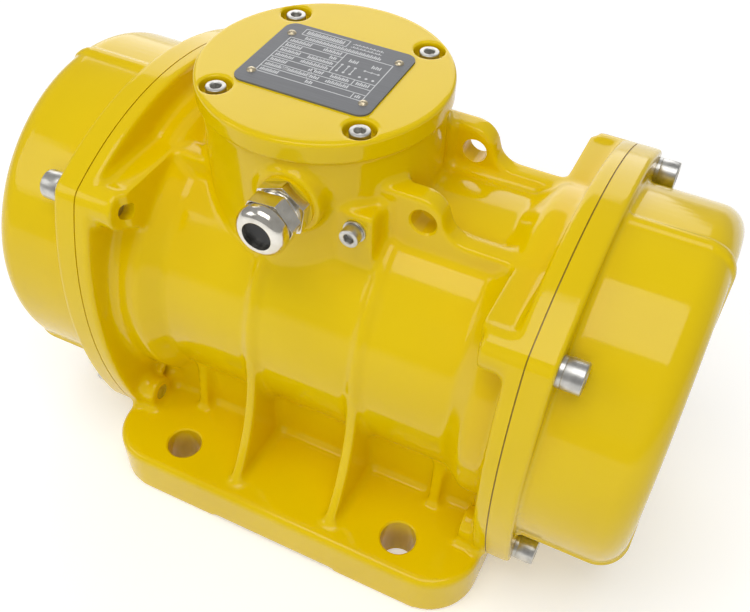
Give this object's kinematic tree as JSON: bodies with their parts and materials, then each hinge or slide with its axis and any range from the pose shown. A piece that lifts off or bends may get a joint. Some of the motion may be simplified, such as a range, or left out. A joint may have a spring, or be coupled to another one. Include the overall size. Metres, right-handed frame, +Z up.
{
  "type": "vibration motor",
  "caption": "Foot-mounted vibration motor: ribbed cast housing, round terminal box with cable gland, and capped ends that hold adjustable eccentric weights.",
  "frame": {"origin": "centre of the four foot holes, on the underside of the foot plate", "axes": "+X along the shaft towards the end with the lifting lugs, +Y away from the cable gland, +Z up through the terminal box"},
  "size_m": [0.3164, 0.206, 0.2068],
  "materials": {
    "yellow_enamel": "gloss",
    "screw_steel": "satin",
    "gasket_rubber": "matte",
    "nickel_brass": "polished",
    "black_plug": "matte",
    "plate_grey": "satin",
    "rivet_metal": "satin",
    "shaft_steel": "satin",
    "spring_steel": "satin",
    "core_steel": "matte",
    "cast_aluminium": "satin",
    "copper_winding": "satin",
    "lead_sheath": "satin",
    "shield_iron": "matte",
    "bearing_steel": "polished",
    "cage_brass": "satin",
    "ring_steel": "satin",
    "weight_steel": "satin",
    "board_plastic": "satin",
    "terminal_brass": "satin"
  },
  "bodies": {
    "housing": {"motor_housing": "yellow_enamel", "foot_plate": "yellow_enamel", "end_frame_left": "yellow_enamel", "end_frame_right": "yellow_enamel", "housing_ribs": "yellow_enamel", "terminal_box": "yellow_enamel", "lifting_lugs": "yellow_enamel", "cover_screws": "screw_steel", "cover_washers": "screw_steel", "cover_gaskets": "gasket_rubber", "shield_screws": "screw_steel", "bearing_cover_screws": "screw_steel", "terminal_box_lid": "yellow_enamel", "lid_gasket": "gasket_rubber", "lid_screws": "screw_steel", "nameplate": "plate_grey", "nameplate_rivets": "rivet_metal", "terminal_board": "board_plastic", "board_screws": "screw_steel", "terminal_studs": "terminal_brass", "terminal_nuts": "terminal_brass", "terminal_links": "terminal_brass", "gland_body": "nickel_brass", "gland_nut": "nickel_brass", "gland_seal": "gasket_rubber", "gland_washer": "gasket_rubber", "gland_plug": "black_plug", "earth_screw": "screw_steel", "earth_washer": "screw_steel", "stator_core": "core_steel", "stator_winding": "copper_winding", "stator_leads": "lead_sheath", "weight_cover_left": "yellow_enamel", "weight_cover_right": "yellow_enamel", "bearing_shield_left": "shield_iron", "bearing_shield_right": "shield_iron", "bearing_cover_left": "shield_iron", "bearing_cover_right": "shield_iron", "bearing_outer_ring_left": "bearing_steel", "bearing_outer_ring_right": "bearing_steel"},
    "rotor": {"shaft": "shaft_steel", "rotor_core": "core_steel", "rotor_cage": "cast_aluminium", "weight_keys": "shaft_steel", "bearing_inner_ring_left": "bearing_steel", "bearing_inner_ring_right": "bearing_steel", "grease_ring_left": "ring_steel", "grease_ring_right": "ring_steel", "fixed_weight_left": "weight_steel", "fixed_weight_right": "weight_steel", "retaining_ring_left": "spring_steel", "retaining_ring_right": "spring_steel"},
    "roller_set_left": {"bearing_cage_left": "cage_brass", "bearing_rollers_left": "bearing_steel"},
    "adjustable_weight_left": {"adjustable_weight_left": "weight_steel", "clamp_screw_left": "screw_steel"},
    "roller_set_right": {"bearing_cage_right": "cage_brass", "bearing_rollers_right": "bearing_steel"},
    "adjustable_weight_right": {"adjustable_weight_right": "weight_steel", "clamp_screw_right": "screw_steel"}
  },
  "joints": [
    {"name": "rotor_spin", "type": "hinge", "parent": "housing", "child": "rotor", "pos_m": [0, 0, 0.0935], "axis": [1, 0, 0], "continuous": true},
    {"name": "roller_set_left_spin", "type": "hinge", "parent": "housing", "child": "roller_set_left", "pos_m": [-0.0885, 0, 0.0935], "axis": [1, 0, 0], "continuous": true},
    {"name": "adjustable_weight_left_turn", "type": "hinge", "parent": "rotor", "child": "adjustable_weight_left", "pos_m": [-0.1335, 0, 0.0935], "axis": [1, 0, 0], "range_deg": [0, 180]},
    {"name": "roller_set_right_spin", "type": "hinge", "parent": "housing", "child": "roller_set_right", "pos_m": [0.0885, 0, 0.0935], "axis": [1, 0, 0], "continuous": true},
    {"name": "adjustable_weight_right_turn", "type": "hinge", "parent": "rotor", "child": "adjustable_weight_right", "pos_m": [0.1335, 0, 0.0935], "axis": [1, 0, 0], "range_deg": [0, 180]}
  ],
  "couplings": [
    {"joint": "roller_set_left_spin", "follows": "rotor_spin", "ratio": 0.3948},
    {"joint": "roller_set_right_spin", "follows": "rotor_spin", "ratio": 0.3948}
  ]
}
